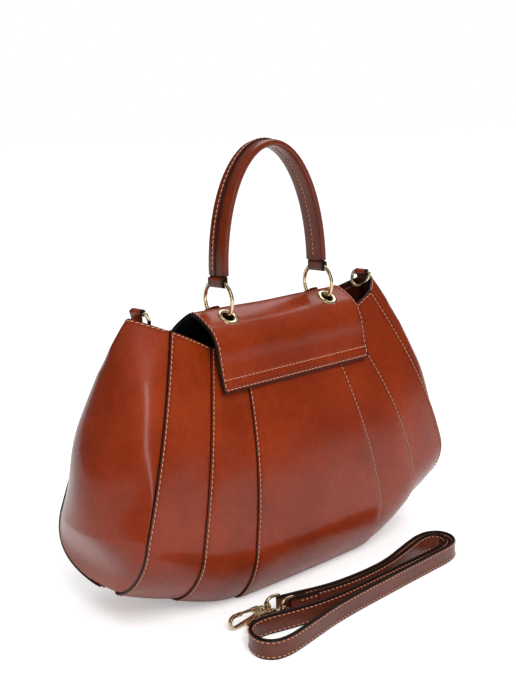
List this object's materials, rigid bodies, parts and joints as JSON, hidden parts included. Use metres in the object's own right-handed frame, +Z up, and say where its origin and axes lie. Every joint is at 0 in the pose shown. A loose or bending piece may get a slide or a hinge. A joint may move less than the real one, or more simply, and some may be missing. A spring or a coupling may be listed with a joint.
{
  "type": "trapeze bag",
  "caption": "Trapeze-shaped leather bag with swelling ends, a wrap-over flap, one padded arch handle on rings and a detachable shoulder strap lying in front of it.",
  "frame": {"origin": "centre of the flat base, on the surface the bag stands on", "axes": "+Z up, -Y towards the bag's front, which is the side the flap's front edge hangs on, +X to the right as seen by someone facing that front"},
  "size_m": [0.404, 0.2182, 0.3852],
  "materials": {
    "bag_leather": "gloss",
    "strap_leather": "satin",
    "bag_lining": "satin",
    "flap_backing": "matte",
    "stiffener": "matte",
    "magnet": "brushed",
    "gold_fittings": "polished"
  },
  "bodies": {
    "shell": {"centre_panel": "bag_leather", "inner_panel_left": "bag_leather", "inner_panel_right": "bag_leather", "outer_panel_left": "bag_leather", "outer_panel_right": "bag_leather", "gusset_left": "bag_leather", "gusset_right": "bag_leather", "lining": "bag_lining", "base_board": "stiffener", "flap_root": "bag_leather", "body_magnet": "magnet", "dring_tab_left": "bag_leather", "dring_tab_right": "bag_leather"},
    "flap": {"flap": "bag_leather", "flap_lining": "flap_backing", "flap_magnet": "magnet", "eyelets": "gold_fittings", "eyelet_washers": "gold_fittings"},
    "ring_left": {"ring_left": "gold_fittings"},
    "ring_right": {"ring_right": "gold_fittings"},
    "handle": {"handle_cover": "bag_leather", "handle_core": "stiffener", "handle_loop_left": "bag_leather", "handle_loop_right": "bag_leather"},
    "dring_left": {"dring_left": "gold_fittings"},
    "dring_right": {"dring_right": "gold_fittings"},
    "strap": {"strap_band": "strap_leather", "strap_tab_a": "strap_leather", "strap_tab_b": "strap_leather"},
    "bow_a": {"bow_a": "gold_fittings"},
    "hook_a": {"hook_a": "gold_fittings", "hook_pins_a": "gold_fittings"},
    "gate_a": {"gate_a": "gold_fittings"},
    "bow_b": {"bow_b": "gold_fittings"},
    "hook_b": {"hook_b": "gold_fittings", "hook_pins_b": "gold_fittings"},
    "gate_b": {"gate_b": "gold_fittings"}
  },
  "joints": [
    {"name": "flap_hinge", "type": "hinge", "parent": "shell", "child": "flap", "pos_m": [0, 0.0329, 0.2039], "axis": [-1, 0, 0], "range_deg": [0, 110]},
    {"name": "handle_swing", "type": "hinge", "parent": "flap", "child": "handle", "pos_m": [0, -0.013, 0.254], "axis": [1, 0, 0], "range_deg": [-90, 90]},
    {"name": "ring_left_spin", "type": "hinge", "parent": "flap", "child": "ring_left", "pos_m": [-0.0605, -0.013, 0.254], "axis": [1, 0, 0], "continuous": true},
    {"name": "ring_right_spin", "type": "hinge", "parent": "flap", "child": "ring_right", "pos_m": [0.0605, -0.013, 0.254], "axis": [1, 0, 0], "continuous": true},
    {"name": "dring_left_swing", "type": "hinge", "parent": "shell", "child": "dring_left", "pos_m": [-0.1357, 0, 0.2535], "axis": [0, -1, 0], "range_deg": [0, 208]},
    {"name": "dring_right_swing", "type": "hinge", "parent": "shell", "child": "dring_right", "pos_m": [0.1357, 0, 0.2535], "axis": [0, 1, 0], "range_deg": [0, 208]},
    {"name": "strap_lift", "type": "slide", "parent": "shell", "child": "strap", "axis": [0, 0, 1], "range_m": [0, 0.25]},
    {"name": "bow_a_swing", "type": "hinge", "parent": "strap", "child": "bow_a", "pos_m": [-0.07525, -0.08951, 0.0096], "axis": [0, 0, -1], "range_deg": [0, 25]},
    {"name": "hook_a_swivel", "type": "hinge", "parent": "bow_a", "child": "hook_a", "pos_m": [-0.08754, -0.08575, 0.0096], "axis": [-0.9921, 0.0868, -0.0906], "continuous": true},
    {"name": "gate_a_press", "type": "hinge", "parent": "hook_a", "child": "gate_a", "pos_m": [-0.09834, -0.0848, 0.01173], "axis": [-0.0872, -0.9962, 0], "range_deg": [0, 16], "stiffness_Nm_per_rad": 0.004, "springref_deg": -22.92},
    {"name": "bow_b_swing", "type": "hinge", "parent": "strap", "child": "bow_b", "pos_m": [-0.06933, -0.10079, 0.0096], "axis": [0, 0, -1], "range_deg": [-2, 2]},
    {"name": "hook_b_swivel", "type": "hinge", "parent": "bow_b", "child": "hook_b", "pos_m": [-0.08189, -0.09812, 0.0096], "axis": [-0.9959, 0, -0.0906], "continuous": true},
    {"name": "gate_b_press", "type": "hinge", "parent": "hook_b", "child": "gate_b", "pos_m": [-0.09273, -0.09812, 0.01173], "axis": [0, -1, 0], "range_deg": [0, 16], "stiffness_Nm_per_rad": 0.004, "springref_deg": -22.92}
  ]
}
